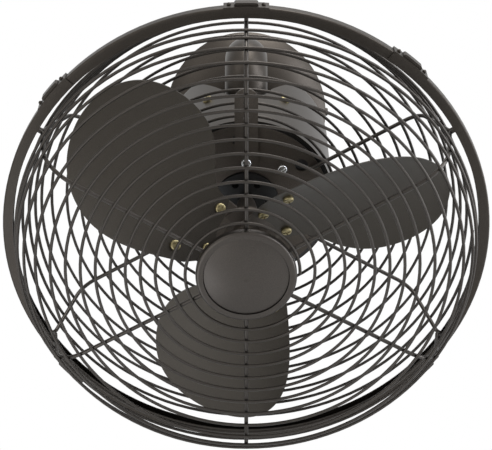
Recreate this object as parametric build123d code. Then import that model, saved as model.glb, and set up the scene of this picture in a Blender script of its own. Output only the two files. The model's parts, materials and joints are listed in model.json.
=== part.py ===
from build123d import *
import math
import os

# An oscillating wall fan with a round wire cage, three paddle blades and a drum
# shaped motor shell that hangs from a goose-neck wall arm.
# Row frame: the wall is the plane Y = 0, the object reaches towards -Y, +Z is up,
# and the origin is the centre of the mount plate's back face.
# Head frame: Z is the fan axis towards the front, X is to the right and Y is up,
# with the origin at the centre of the trim band. All lengths are millimetres.

# Head placing
HEAD_TILT = 28.0
RING_DEPTH = 263.3
RING_DROP = 116.0
PIVOT_BACK = 132.9

# Cage wire
WIRE_D = 2.5
SPOKE_D = 3.2
RIM_WIRE_D = 3.0
WIRE_PITCH = 11.45
WELD_SINK = 0.4
SPOKE_COUNT = 6
SPOKE_START = 30.0

# Trim band
BAND_R = 193.2
BAND_WALL = 1.0
BAND_FLANGE = 8.0
RIM_CLEAR = 0.1
CLIP_AZIMUTHS = (90.0, 50.0, 140.0, 220.0, 320.0)
CLIP_LENGTH = 34.0
CLIP_WALL = 1.0
CLIP_TAB_LENGTH = 18.0
CLIP_TAB_RISE = 2.4

# Front guard
FRONT_FACE_Z = 60.6
FRONT_CORNER_INSET = 20.4
FRONT_CORNER_DROP = 3.0
FRONT_SHOULDER_R = 31.0
GUARD_FOOT_INSET = 12.0
FRONT_SPOKE_INNER_R = 28.0
FRONT_WIRE_START_R = 40.9
CENTRE_PLATE_R = 36.0
CENTRE_PLATE_T = 1.5
CENTRE_SEAT_DROP = 0.3

# Badge
BEZEL_R = 38.8
BEZEL_RISE = 6.0
BADGE_R = 32.6
BADGE_DOME = 4.0
BADGE_WALL = 1.6
BADGE_POST_R = 24.0
BADGE_POST_D = 7.0

# Rear guard
REAR_FACE_Z = 57.8
REAR_CORNER_INSET = 32.2
REAR_SHOULDER_R = 18.0
REAR_SPOKE_INNER_R = 61.0
REAR_WIRE_START_R = 74.2
GUARD_PLATE_R = 68.0
GUARD_PLATE_T = 2.0
GUARD_PLATE_HOLE_D = 11.0
GUARD_PLATE_HOLE_PCR = 56.0
GUARD_PLATE_HOLE_TURN = 6.0
STRAP_W = 19.0
STRAP_T = 1.8
STRAP_INNER_R = 30.0
STRAP_OUTER_R = 103.0
STRAP_SCREW_R = 37.7

# Motor
SHELL_R = 72.0
SHELL_WALL = 1.2
SHELL_BACK_Z = 180.3
SHELL_SHOULDER = 9.0
SHELL_DOME = 13.0
NOTCH_FLOOR = 16.0
NOTCH_FLARE = 30.0
SHELL_SCREW_Z = -121.0
SHELL_SCREW_TURN = 27.0
BRACKET_T = 3.0
REAR_BRACKET_R = 52.0
STATOR_R = 46.0
STATOR_BORE_R = 26.0
STATOR_LEN = 24.0
WINDING_LEN = 6.5
WINDING_WALL = 14.0
ROTOR_GAP = 0.4
SHAFT_R = 4.0
BEARING_R = 11.0
BEARING_W = 7.0
BOSS_R = 26.6
REAR_BOSS_R = 13.5
TIE_BOLT_PCR = 42.0
TIE_BOLT_R = 2.0
CARRIER_PCR = 48.0

# Blades
BLADE_COUNT = 3
BLADE_START = 17.5
BLADE_TIP_INSET = 27.2
BLADE_T = 1.2
BLADE_Z = 3.9
BLADE_PITCH = 27.3
BLADE_CAMBER_R = 210.0
IRON_T = 2.5
HUB_R = 12.0
HUB_DISC_R = 24.0
HUB_NECK_R = 7.5
HUB_SHOULDER_R = 14.0
HUB_BACK = -54.0
BLADE_ROOM = 60.0
BLADE_SCREWS = ((32.0, -4.5), (21.0, 22.5), (44.5, 34.0))

# Wall arm and swivel
TUBE_R = 18.5
TUBE_WALL = 2.6
TUBE_SLOT_GAP = 2.5
ARM_RISE = 39.0
ARM_SWEEP_UP = 60.0
ARM_BEND_LOW = 24.0
ARM_BEND_TOP = 24.0
ARM_BEND_NECK = 24.0
NECK_END = 44.0
NECK_GROOVE_T = 57.0
NECK_GROOVE_W = 1.6
NECK_GROOVE_DEEP = 1.0
SPINDLE_R = 8.0
SPINDLE_BORE_R = 4.0
SPINDLE_FLANGE_T = 3.0
SPINDLE_END = 15.0
PLUG_LEN = 12.0
HUB_OUTER_R = 15.0
HUB_LOW = 22.0
HUB_HIGH = 40.0
BUSH_WALL = 2.0
GEAR_MODULE = 0.8
FIXED_TEETH = 36
PINION_TEETH = 12
GEAR_LOW = 18.0
GEAR_T = 3.6
CAN_R = 14.0
CAN_BACK = 26.0
CAN_LOW = 2.0
CAN_LEN = 13.0
CHEEK_X = 26.5
CHEEK_T = 3.0
CHEEK_HALF = 12.0
CHEEK_FOOT = 11.0
EAR_X = 30.0
EAR_T = 3.0
EAR_HALF = 10.0
TILT_PIN_R = 4.0

# Wall plate and canopy
CANOPY_R = 75.5
CANOPY_DEPTH = 28.0
CANOPY_RIM = 12.0
CANOPY_WALL = 1.4
PLATE_R = 66.0
PLATE_T = 2.5
BOX_SCREW_SPACING = 88.9
BOX_HOLE_R = 2.5
ARM_FLANGE_R = 30.0
ARM_FLANGE_T = 4.0
ARM_SCREW_PCR = 24.2

# Fits
RUN_CLEAR = 0.05
SEAT_CLEAR = 0.1
MOVE_GAP = 0.4

# Tied values
RIM_Z = RIM_WIRE_D / 2 + RIM_CLEAR / 2
SPOKE_REACH = BAND_R - BAND_WALL - RIM_CLEAR - RIM_WIRE_D
BAND_HALF = SPOKE_D + 2 * RIM_CLEAR + BAND_WALL
RIM_R = BAND_R - BAND_WALL - RIM_CLEAR - RIM_WIRE_D / 2
SPOKE_FOOT_Z = SPOKE_D / 2 + RIM_CLEAR
WIRE_STAND = SPOKE_D / 2 + WIRE_D / 2 - WELD_SINK
CENTRE_SEAT_Z = FRONT_FACE_Z - SPOKE_D / 2 - CENTRE_SEAT_DROP
PLATE_FRONT_Z = -REAR_FACE_Z - SPOKE_D / 2
PLATE_BACK_Z = PLATE_FRONT_Z - GUARD_PLATE_T
BRACKET_BACK_Z = PLATE_BACK_Z - BRACKET_T
SHELL_FRONT_Z = PLATE_BACK_Z - MOVE_GAP
STATOR_FRONT_Z = BRACKET_BACK_Z - WINDING_LEN - 1.0
STATOR_BACK_Z = STATOR_FRONT_Z - STATOR_LEN
REAR_BRACKET_Z = STATOR_BACK_Z - WINDING_LEN - 1.0
REAR_BRACKET_BACK_Z = REAR_BRACKET_Z - BRACKET_T
NOTCH_HALF = TUBE_R + TUBE_SLOT_GAP
ARM_STUB = CANOPY_DEPTH + 2.0
FRONT_CORNER_R = BAND_R - FRONT_CORNER_INSET
REAR_CORNER_R = BAND_R - REAR_CORNER_INSET
GUARD_FOOT_R = BAND_R - GUARD_FOOT_INSET
BLADE_TIP_R = BAND_R - BLADE_TIP_INSET
COS_T = math.cos(math.radians(HEAD_TILT))
SIN_T = math.sin(math.radians(HEAD_TILT))
NECK_Y = -RING_DEPTH + PIVOT_BACK * COS_T
PIVOT_Z = -RING_DROP + PIVOT_BACK * SIN_T
GEAR_CENTRES = GEAR_MODULE * (FIXED_TEETH + PINION_TEETH) / 2
HEAD_PLANE = Plane(origin=(0, -RING_DEPTH, -RING_DROP), x_dir=(1, 0, 0), z_dir=(0, -COS_T, -SIN_T))


def tube(outer, inner, low, high):
    ring = Circle(outer) - Circle(inner)
    return Pos(0, 0, low) * extrude(ring, amount=high - low)


def rod(radius, low, high):
    return Pos(0, 0, low) * extrude(Circle(radius), amount=high - low)


def around(shape, count, start=0.0):
    step = 360.0 / count
    return [Rot(0, 0, start + step * k) * shape for k in range(count)]


def polar(radius, angle):
    turn = math.radians(angle)
    return radius * math.cos(turn), radius * math.sin(turn)


def pan_screw(shank_r, length, head_r, head_h):
    # The head sits on the plane z = 0 and the shank goes down from it.
    head = rod(head_r, 0, head_h)
    head = fillet(head.edges().sort_by(Axis.Z)[-1], head_h * 0.6)
    slot_w = head_r * 0.3
    slot = Pos(0, 0, head_h - head_h * 0.2) * Box(head_r * 1.5, slot_w, head_h * 0.4)
    cross = Rot(0, 0, 90) * slot
    return head - slot - cross + rod(shank_r, -length, 0.0)


def revolve_profile(*edges):
    # The profile is drawn in X (radius) and Y (height), then turned about the height.
    face = make_face(Wire(list(edges)))
    return revolve(Plane.XZ * face, axis=Axis.Z, revolution_arc=360)


def gear(teeth, module, bore_r, thickness, first_angle, backlash=0.12):
    root_r = module * (teeth / 2 - 1.25)
    tip_r = module * (teeth / 2 + 1)
    pitch_r = module * teeth / 2
    step = 2 * math.pi / teeth
    half_root = step * 0.36
    half_tip = step * 0.11
    half_pitch = (math.pi * module / 2 - backlash) / 2 / pitch_r
    points = []
    for k in range(teeth):
        mid = math.radians(first_angle) + k * step
        for half, radius in ((-half_root, root_r), (-half_pitch, pitch_r), (-half_tip, tip_r),
                             (half_tip, tip_r), (half_pitch, pitch_r), (half_root, root_r)):
            angle = mid + half
            points.append((radius * math.cos(angle), radius * math.sin(angle)))
    blank = make_face(Polyline(*points, close=True))
    return extrude(blank - Circle(bore_r), amount=thickness)


# Cage

def front_path():
    inner = (FRONT_SPOKE_INNER_R, FRONT_FACE_Z)
    corner = (FRONT_CORNER_R, FRONT_FACE_Z - FRONT_CORNER_DROP)
    return FilletPolyline(inner, corner, (GUARD_FOOT_R, SPOKE_FOOT_Z), radius=FRONT_SHOULDER_R)


def rear_path():
    inner = (REAR_SPOKE_INNER_R, -REAR_FACE_Z)
    corner = (REAR_CORNER_R, -REAR_FACE_Z)
    return FilletPolyline(inner, corner, (GUARD_FOOT_R, -SPOKE_FOOT_Z), radius=REAR_SHOULDER_R)


def spoke(path, side):
    start = path @ 0
    flat = Plane.XZ * path
    section = Plane(origin=flat @ 0, z_dir=flat % 0) * Circle(SPOKE_D / 2)
    long_run = sweep(section, path=flat)
    foot_z = side * SPOKE_FOOT_Z
    elbow = Pos(GUARD_FOOT_R, 0, foot_z) * Sphere(SPOKE_D / 2)
    foot_len = SPOKE_REACH + RIM_WIRE_D * 0.3 - GUARD_FOOT_R
    foot = Pos(GUARD_FOOT_R, 0, foot_z) * Rot(0, 90, 0) * rod(SPOKE_D / 2, 0, foot_len)
    return long_run + elbow + foot


def spiral(path, first_r, side):
    # One wire wound outwards: half turns whose ends all lie on the X axis, so that
    # each half turn meets the next with the same direction.
    length = path.length
    start = path @ 0
    s = first_r - start.X
    points = []
    hand = 1
    while s < length - WIRE_D:
        place = path.position_at(s / length)
        along = path.tangent_at(s / length)
        out = Vector(-along.Y, along.X, 0) * side
        spot = place + out * WIRE_STAND
        points.append(Vector(hand * spot.X, 0, spot.Y))
        hand = -hand
        s += WIRE_PITCH / 2
    arcs = []
    for k in range(len(points) - 1):
        middle = (points[k] + points[k + 1]) * 0.5
        radius = (points[k + 1] - points[k]).length / 2
        up = radius if k % 2 == 0 else -radius
        arcs.append(ThreePointArc(points[k], middle + Vector(0, up, 0), points[k + 1]))
    section = Plane(origin=points[0], z_dir=(0, 1, 0)) * Circle(WIRE_D / 2)
    return sweep(section, path=Wire(arcs))


def rim_ring(side):
    return Rot(0, 0, 7) * Pos(0, 0, side * RIM_Z) * Torus(RIM_R, RIM_WIRE_D / 2)


def front_guard():
    path = front_path()
    spokes = around(spoke(path, 1), SPOKE_COUNT, SPOKE_START)
    return spiral(path, FRONT_WIRE_START_R, 1).fuse(*spokes, rim_ring(1))


def rear_guard():
    path = rear_path()
    spokes = around(spoke(path, -1), SPOKE_COUNT, SPOKE_START)
    return spiral(path, REAR_WIRE_START_R, -1).fuse(*spokes, rim_ring(-1))


def trim_band():
    outer = tube(BAND_R, BAND_R - BAND_FLANGE, -BAND_HALF, BAND_HALF)
    inner_half = BAND_HALF - BAND_WALL
    groove = tube(BAND_R - BAND_WALL, BAND_R - BAND_FLANGE - 1, -inner_half, inner_half)
    rims = outer.edges().filter_by(GeomType.CIRCLE).filter_by(lambda e: e.radius > BAND_R - 1)
    return fillet(rims, BAND_WALL * 1.5) - groove


def band_clip():
    # A folded strap over the band, with a raised latch on its outside.
    outer_r = BAND_R + CLIP_WALL + SEAT_CLEAR
    half = BAND_HALF + CLIP_WALL + SEAT_CLEAR
    reach = BAND_R - BAND_FLANGE + 1.0
    body = tube(outer_r, reach, -half, half)
    hollow = tube(BAND_R + SEAT_CLEAR, reach - 1, -half + CLIP_WALL, half - CLIP_WALL)
    turn = math.degrees(CLIP_LENGTH / 2 / BAND_R)
    window = Pos(BAND_R, 0, 0) * Box(4 * BAND_FLANGE, CLIP_LENGTH, 4 * half)
    strap = (body & window) - hollow
    tab_half = BAND_HALF * 0.75
    tab = tube(outer_r + CLIP_TAB_RISE, outer_r, -tab_half, tab_half)
    tab = tab & (Pos(BAND_R, 0, 0) * Box(4 * BAND_FLANGE, CLIP_TAB_LENGTH, 4 * half))
    ends = tab.edges().filter_by(Axis.Z)
    ends = [e for e in ends if math.hypot(e.center().X, e.center().Y) > outer_r + CLIP_TAB_RISE / 2]
    tab = fillet(ends, CLIP_TAB_RISE * 0.7)
    dimples = [Pos(outer_r, s * (CLIP_LENGTH + CLIP_TAB_LENGTH) / 4, 0) * Sphere(1.6) for s in (-1, 1)]
    body = strap + tab + dimples
    return body - hollow, turn


def band_clips():
    clip, turn = band_clip()
    return Compound(children=[s for a in CLIP_AZIMUTHS for s in (Rot(0, 0, a) * clip).solids()])


def centre_plate():
    top = CENTRE_SEAT_Z
    plate = rod(CENTRE_PLATE_R, top - CENTRE_PLATE_T, top)
    for x, y in [polar(BADGE_POST_R, a) for a in (0, 120, 240)]:
        plate = plate - Pos(x, y, 0) * rod(1.8, top - 2 * CENTRE_PLATE_T, top + 1)
    return plate


def badge_bezel():
    # A rounded ring with a floor, and three posts that stand on the centre plate.
    low = FRONT_FACE_Z + SPOKE_D / 2 + SEAT_CLEAR
    high = low + BEZEL_RISE
    blank = rod(BEZEL_R, low, high)
    rim = blank.edges().filter_by(GeomType.CIRCLE)
    blank = fillet(rim.sort_by(Axis.Z)[-1], BEZEL_RISE * 0.45)
    well = rod(BADGE_R + MOVE_GAP, high - BADGE_WALL - 1.0, high + 1)
    well = fillet(well.edges().sort_by(Axis.Z)[0], 0.4)
    ring = blank - well
    for x, y in [polar(BADGE_POST_R, a) for a in (0, 120, 240)]:
        post = Pos(x, y, 0) * rod(BADGE_POST_D / 2, CENTRE_SEAT_Z, low + 1)
        hole = Pos(x, y, 0) * rod(1.3, CENTRE_SEAT_Z - 1, low + 2)
        ring = ring + post - hole
    return ring


def badge_disc():
    low = FRONT_FACE_Z + SPOKE_D / 2 + SEAT_CLEAR + BEZEL_RISE - BADGE_WALL - 1.0
    edge = low + BADGE_WALL
    top = edge + BADGE_DOME
    dome_r = (BADGE_R ** 2 + BADGE_DOME ** 2) / (2 * BADGE_DOME)
    blank = rod(BADGE_R, low, top + 1)
    return blank & Pos(0, 0, top - dome_r) * Sphere(dome_r)


def badge_screws():
    head_z = CENTRE_SEAT_Z - CENTRE_PLATE_T
    screw = Rot(180, 0, 0) * pan_screw(1.25, 5.0, 2.8, 1.8)
    spots = [polar(BADGE_POST_R, a) for a in (0, 120, 240)]
    return Compound(children=[s for x, y in spots for s in (Pos(x, y, head_z) * screw).solids()])


# Rear guard plate

def guard_plate():
    plate = tube(GUARD_PLATE_R, BOSS_R + MOVE_GAP, PLATE_BACK_Z, PLATE_FRONT_Z)
    hole = rod(GUARD_PLATE_HOLE_D / 2, PLATE_BACK_Z - 1, PLATE_FRONT_Z + 1)
    hole = Pos(GUARD_PLATE_HOLE_PCR, 0, 0) * hole
    for cut in around(hole, SPOKE_COUNT, SPOKE_START + GUARD_PLATE_HOLE_TURN):
        plate = plate - cut
    screw_hole = Pos(TIE_BOLT_PCR, 0, 0) * rod(TIE_BOLT_R + SEAT_CLEAR, PLATE_BACK_Z - 1, PLATE_FRONT_Z + 1)
    for cut in around(screw_hole, 4, 45):
        plate = plate - cut
    strap_hole = Pos(0, STRAP_SCREW_R, 0) * rod(TIE_BOLT_R + SEAT_CLEAR, PLATE_BACK_Z - 1, PLATE_FRONT_Z + 1)
    return plate - strap_hole


def guard_plate_screws():
    screw = pan_screw(TIE_BOLT_R, GUARD_PLATE_T + BRACKET_T - 0.5, 4.0, 2.4)
    set_of = around(Pos(TIE_BOLT_PCR, 0, PLATE_FRONT_Z) * screw, 4, 45)
    return Compound(children=[s for one in set_of for s in one.solids()])


def strap_low():
    return -REAR_FACE_Z + SPOKE_D / 2 + SEAT_CLEAR


def guard_strap():
    # A flat bar over the top spoke, on a raised foot that one screw holds.
    low = strap_low()
    mid = (STRAP_INNER_R + STRAP_OUTER_R) / 2
    span = STRAP_OUTER_R - STRAP_INNER_R
    bar = Pos(0, mid, low) * extrude(SlotOverall(span, STRAP_W, rotation=90), amount=STRAP_T)
    foot_len = REAR_SPOKE_INNER_R - 4.0 - STRAP_INNER_R
    foot_mid = STRAP_INNER_R + foot_len / 2
    foot = Pos(0, foot_mid, PLATE_FRONT_Z) * extrude(SlotOverall(foot_len, STRAP_W, rotation=90),
                                                    amount=low - PLATE_FRONT_Z)
    bar = bar + foot
    top = low + STRAP_T
    bar = bar - Pos(0, STRAP_SCREW_R, 0) * rod(TIE_BOLT_R + SEAT_CLEAR, PLATE_FRONT_Z - 1, top + 1)
    for y, r in ((STRAP_OUTER_R - 13.0, 2.4), (STRAP_OUTER_R - 25.5, 2.4)):
        bar = bar - Pos(0, y, 0) * rod(r, low - 1, top + 1)
    slot_y = STRAP_OUTER_R - 39.5
    return bar - Pos(0, slot_y, low - 1) * extrude(SlotOverall(16.0, 4.4, rotation=90), amount=STRAP_T + 2)


def strap_screw():
    top = strap_low() + STRAP_T
    length = top - PLATE_BACK_Z + BRACKET_T - 0.5
    return Pos(0, STRAP_SCREW_R, top) * pan_screw(TIE_BOLT_R, length, 4.2, 2.6)


# Motor

def shell_profile(radius, back_z, shoulder, dome, front_z):
    wall = Line((radius, front_z), (radius, back_z + shoulder))
    round_end = (radius - shoulder, back_z)
    slant = shoulder * (1 - math.sqrt(0.5))
    corner = ThreePointArc((radius, back_z + shoulder), (radius - slant, back_z + slant), round_end)
    rise = ThreePointArc(round_end, (round_end[0] * 0.5, back_z - dome * 0.75), (0, back_z - dome))
    return wall, corner, rise


def motor_shell():
    back = -SHELL_BACK_Z
    outer = shell_profile(SHELL_R, back, SHELL_SHOULDER, SHELL_DOME, SHELL_FRONT_Z)
    inner_shoulder = SHELL_SHOULDER - SHELL_WALL
    inner = shell_profile(SHELL_R - SHELL_WALL, back + SHELL_WALL, inner_shoulder, SHELL_DOME, SHELL_FRONT_Z)
    body = revolve_profile(*outer, Line((0, back - SHELL_DOME), (0, SHELL_FRONT_Z)),
                           Line((0, SHELL_FRONT_Z), (SHELL_R, SHELL_FRONT_Z)))
    bore = revolve_profile(*inner, Line((0, back + SHELL_WALL - SHELL_DOME), (0, SHELL_FRONT_Z)),
                           Line((0, SHELL_FRONT_Z), (SHELL_R - SHELL_WALL, SHELL_FRONT_Z)))
    shell = body - bore
    tall = SHELL_R + 5.0 - NOTCH_FLOOR
    long = SHELL_BACK_Z + SHELL_DOME + 10.0 - PIVOT_BACK
    # The notch opens backwards, so that the level arm stays clear of it as the head swings.
    wide = NOTCH_HALF + long * math.tan(math.radians(NOTCH_FLARE))
    corners = ((-NOTCH_HALF, 0), (NOTCH_HALF, 0), (wide, long), (-wide, long))
    notch_plane = Plane(origin=(0, NOTCH_FLOOR, -PIVOT_BACK), x_dir=(1, 0, 0), z_dir=(0, 1, 0))
    notch = extrude(notch_plane * make_face(Polyline(*corners, close=True)), amount=tall)
    end = Pos(0, NOTCH_FLOOR, -PIVOT_BACK) * Rot(-90, 0, 0) * rod(NOTCH_HALF, 0, tall)
    shell = shell - notch - end
    bore_hole = Pos(0, 0, SHELL_SCREW_Z) * Rot(0, 90, 0) * rod(2.0, SHELL_R - 4, SHELL_R + 2)
    for cut in at_shell_screws(bore_hole):
        shell = shell - cut
    return shell


def at_shell_screws(shape):
    # Two places beside the top of the shell and two beside the bottom.
    turns = [side * 90 + lean * SHELL_SCREW_TURN for side in (-1, 1) for lean in (-1, 1)]
    return [Rot(0, 0, a) * shape for a in turns]


def shell_screws():
    # Four screws through the shell into the carrier ring.
    screw = Pos(SHELL_R, 0, SHELL_SCREW_Z) * Rot(0, 90, 0) * pan_screw(1.9, 6.0, 4.2, 2.4)
    return Compound(children=[s for one in at_shell_screws(screw) for s in one.solids()])


def shell_carrier():
    # A flanged ring inside the shell, held on four posts from the rear bracket.
    z = SHELL_SCREW_Z
    outer = SHELL_R - SHELL_WALL - SEAT_CLEAR
    ring = tube(outer, outer - 2.5, z - 6, z + 6)
    slot_room = Pos(0, SHELL_R, z) * Box(2 * NOTCH_HALF + 2, 2 * SHELL_R - 2 * NOTCH_FLOOR, 40)
    ring = ring - slot_room
    post_top = REAR_BRACKET_BACK_Z
    post = Pos(CARRIER_PCR, 0, 0) * rod(3.0, z + 3, post_top)
    arm_len = outer - 1.0 - CARRIER_PCR
    arm = Pos(CARRIER_PCR + arm_len / 2, 0, z + 4.5) * Box(arm_len, 8.0, 3.0)
    pieces = around(post, 4, 45) + around(arm, 4, 45)
    ring = ring.fuse(*pieces)
    hole = Pos(0, 0, z) * Rot(0, 90, 0) * rod(1.9 + RUN_CLEAR, SHELL_R - 8, SHELL_R + 2)
    for cut in at_shell_screws(hole):
        ring = ring - cut
    return ring


def front_bracket():
    disc = rod(SHELL_R - SHELL_WALL - SEAT_CLEAR, BRACKET_BACK_Z, BRACKET_BACK_Z + BRACKET_T)
    boss = rod(BOSS_R, BRACKET_BACK_Z, PLATE_FRONT_Z + 2.0)
    body = disc + boss
    body = body - rod(SHAFT_R + 1.5, BRACKET_BACK_Z - 1, PLATE_FRONT_Z + 5)
    body = body - rod(BEARING_R + SEAT_CLEAR, BRACKET_BACK_Z - 1, BRACKET_BACK_Z + BEARING_W - 1.0)
    for k in range(6):
        x, y = polar(18.0, 60 * k)
        body = body - Pos(x, y, 0) * rod(3.0, PLATE_BACK_Z, PLATE_FRONT_Z + 5)
    hole = Pos(TIE_BOLT_PCR, 0, 0) * rod(TIE_BOLT_R + SEAT_CLEAR, BRACKET_BACK_Z - 1, PLATE_FRONT_Z)
    for cut in around(hole, 8, 0):
        body = body - cut
    strap_hole = Pos(0, STRAP_SCREW_R, 0) * rod(TIE_BOLT_R + SEAT_CLEAR, BRACKET_BACK_Z - 1, PLATE_FRONT_Z)
    return body - strap_hole


def rear_bracket():
    plate = rod(REAR_BRACKET_R, REAR_BRACKET_BACK_Z, REAR_BRACKET_Z)
    boss = rod(REAR_BOSS_R, REAR_BRACKET_BACK_Z - 5.0, REAR_BRACKET_Z)
    body = plate + boss
    ear_far = PIVOT_BACK + EAR_HALF
    for side in (-1, 1):
        x = side * (EAR_X + EAR_T / 2)
        length = ear_far + REAR_BRACKET_BACK_Z
        ear = Pos(x, 0, REAR_BRACKET_BACK_Z - length / 2) * Box(EAR_T, 2 * EAR_HALF, length)
        tips = ear.edges().filter_by(Axis.X).sort_by(Axis.Z)[:2]
        ear = fillet(tips, EAR_HALF * 0.9)
        body = body + ear
    pin = Pos(-EAR_X - EAR_T - 1, 0, -PIVOT_BACK) * Rot(0, 90, 0) * rod(TILT_PIN_R + RUN_CLEAR, 0,
                                                                      2 * (EAR_X + EAR_T + 1))
    body = body - pin
    body = body - rod(SHAFT_R + 1.5, REAR_BRACKET_BACK_Z - 10, REAR_BRACKET_Z + 1)
    body = body - rod(BEARING_R + SEAT_CLEAR, REAR_BRACKET_Z - BEARING_W, REAR_BRACKET_Z + 1)
    hole = Pos(TIE_BOLT_PCR, 0, 0) * rod(TIE_BOLT_R + SEAT_CLEAR, REAR_BRACKET_BACK_Z - 1, REAR_BRACKET_Z + 1)
    for cut in around(hole, 4, 0):
        body = body - cut
    return body


def stator_core():
    core = tube(STATOR_R, STATOR_BORE_R, STATOR_BACK_Z, STATOR_FRONT_Z)
    hole = Pos(TIE_BOLT_PCR, 0, 0) * rod(TIE_BOLT_R + SEAT_CLEAR, STATOR_BACK_Z - 1, STATOR_FRONT_Z + 1)
    for cut in around(hole, 4, 0):
        core = core - cut
    return core


def stator_windings():
    inner = STATOR_BORE_R + 1.0
    outer = inner + WINDING_WALL - 2.0
    front = tube(outer, inner, STATOR_FRONT_Z, STATOR_FRONT_Z + WINDING_LEN)
    back = tube(outer, inner, STATOR_BACK_Z - WINDING_LEN, STATOR_BACK_Z)
    front = fillet(front.edges().sort_by(Axis.Z)[-2:], WINDING_LEN * 0.4)
    back = fillet(back.edges().sort_by(Axis.Z)[:2], WINDING_LEN * 0.4)
    return Compound(children=front.solids() + back.solids())


def tie_bolts():
    length = BRACKET_BACK_Z - REAR_BRACKET_BACK_Z + BRACKET_T
    bolt = Rot(180, 0, 0) * pan_screw(TIE_BOLT_R, length - 0.5, 3.6, 2.4)
    bolt = Pos(TIE_BOLT_PCR, 0, REAR_BRACKET_BACK_Z) * bolt
    return Compound(children=[s for one in around(bolt, 4, 0) for s in one.solids()])


def bearing(low):
    outer = tube(BEARING_R, BEARING_R - 2.0, low, low + BEARING_W)
    inner = tube(SHAFT_R + 2.0, SHAFT_R + RUN_CLEAR, low, low + BEARING_W)
    shield = tube(BEARING_R - 2.0, SHAFT_R + 2.0, low + 0.6, low + BEARING_W - 0.6)
    return outer + shield + inner


def front_bearing():
    return bearing(BRACKET_BACK_Z - 1.0)


def rear_bearing():
    return bearing(REAR_BRACKET_Z - BEARING_W + 0.1)


# Rotor

def motor_shaft():
    back = REAR_BRACKET_BACK_Z - 4.0
    front = BLADE_Z + 14.5
    shaft = rod(SHAFT_R, back, front)
    ends = shaft.edges().filter_by(GeomType.CIRCLE)
    shaft = chamfer(ends, 0.5)
    flat = Pos(0, SHAFT_R, HUB_BACK + 5.0) * Box(2 * SHAFT_R, 1.6, 12.0)
    return shaft - flat


def rotor_core():
    return tube(STATOR_BORE_R - ROTOR_GAP, SHAFT_R, STATOR_BACK_Z - 2, STATOR_FRONT_Z + 2)


def blade_slope(y):
    start = math.sin(math.radians(BLADE_PITCH))
    return math.degrees(math.asin(start + y / BLADE_CAMBER_R))


def blade_height(y):
    # Height of the blade's front face over its own root plane, at chord place y.
    start = math.radians(BLADE_PITCH)
    centre_y = -BLADE_CAMBER_R * math.sin(start)
    centre_z = BLADE_CAMBER_R * math.cos(start)
    reach = BLADE_CAMBER_R ** 2 - (y - centre_y) ** 2
    return centre_z - math.sqrt(reach)


def camber_strip(front_offset, thickness, low_y, high_y, low_x, high_x):
    # A sheet bent about an axis along the blade, as thick as asked.
    start = math.radians(BLADE_PITCH)
    centre = (-BLADE_CAMBER_R * math.sin(start), BLADE_CAMBER_R * math.cos(start))
    inner_r = BLADE_CAMBER_R + front_offset
    outer_r = inner_r + thickness
    rings = Pos(*centre) * (Circle(outer_r) - Circle(inner_r))
    middle = (low_y + high_y) / 2
    window = Pos(middle, 0) * Rectangle(high_y - low_y, 2 * BLADE_ROOM)
    strip = rings & window
    frame = Plane(origin=(low_x, 0, 0), x_dir=(0, 1, 0), z_dir=(1, 0, 0))
    return extrude(frame * strip, amount=high_x - low_x)


def blade_outline():
    tip = BLADE_TIP_R
    low = ((48.0, -17.5), (66.0, -36.0), (88.0, -49.0), (114.0, -51.5), (tip - 16.0, -37.0), (tip, 2.0))
    high = ((tip - 15.0, 37.5), (118.0, 54.0), (74.0, 52.0), (31.0, 39.0))
    edge = Spline((30.0, -13.0), *low, *high)
    root = Line(edge @ 1, (13.0, 27.0))
    back = Line((13.0, 27.0), (30.0, -13.0))
    return make_face(Wire([edge, root, back]))


def blade():
    planform = Pos(0, 0, -BLADE_ROOM) * extrude(blade_outline(), amount=2 * BLADE_ROOM)
    sheet = camber_strip(0.0, BLADE_T, -70, 80, 0, BLADE_TIP_R + 5)
    body = sheet & planform
    body = body - rod(HUB_DISC_R + MOVE_GAP, -BLADE_ROOM, BLADE_ROOM)
    for x, y in BLADE_SCREWS:
        body = body - screw_place(x, y) * rod(2.2, -6, 6)
    return body


def screw_place(x, y):
    return Pos(x, y, blade_height(y)) * Rot(blade_slope(y), 0, 0)


def blade_at(index):
    turn = BLADE_START + 360.0 / BLADE_COUNT * index
    return Rot(0, 0, turn) * (Pos(0, 0, BLADE_Z) * blade())


def iron_outline():
    # It stays inside the blade's own root outline.
    pad = Polyline((0, -12), (33.0, -12.0), (40.0, -4.0), (52.0, 33.0), (50.0, 41.5), (33.0, 36.5),
                   (10.0, 23.0), (0, 17), close=True)
    return make_face(pad)


def blade_spider():
    pad = Pos(0, 0, -BLADE_ROOM) * extrude(iron_outline(), amount=2 * BLADE_ROOM)
    sheet = camber_strip(BLADE_T, IRON_T, -30, 60, 0, 70)
    arm = sheet & pad
    for x, y in BLADE_SCREWS:
        arm = arm - screw_place(x, y) * rod(2.2, -8, 6)
    arms = around(Pos(0, 0, BLADE_Z) * arm, BLADE_COUNT, BLADE_START)
    disc = rod(HUB_DISC_R, BLADE_Z - 7.0, BLADE_Z - 2.0)
    body = disc.fuse(*arms)
    clear_above = rod(HUB_R + 6.0, BLADE_Z - 2.0, BLADE_Z + 30)
    body = body - clear_above - rod(HUB_DISC_R, BLADE_Z - 30, BLADE_Z - 7.0)
    return body - rod(HUB_R + RUN_CLEAR, BLADE_Z - 30, BLADE_Z + 30)


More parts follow.
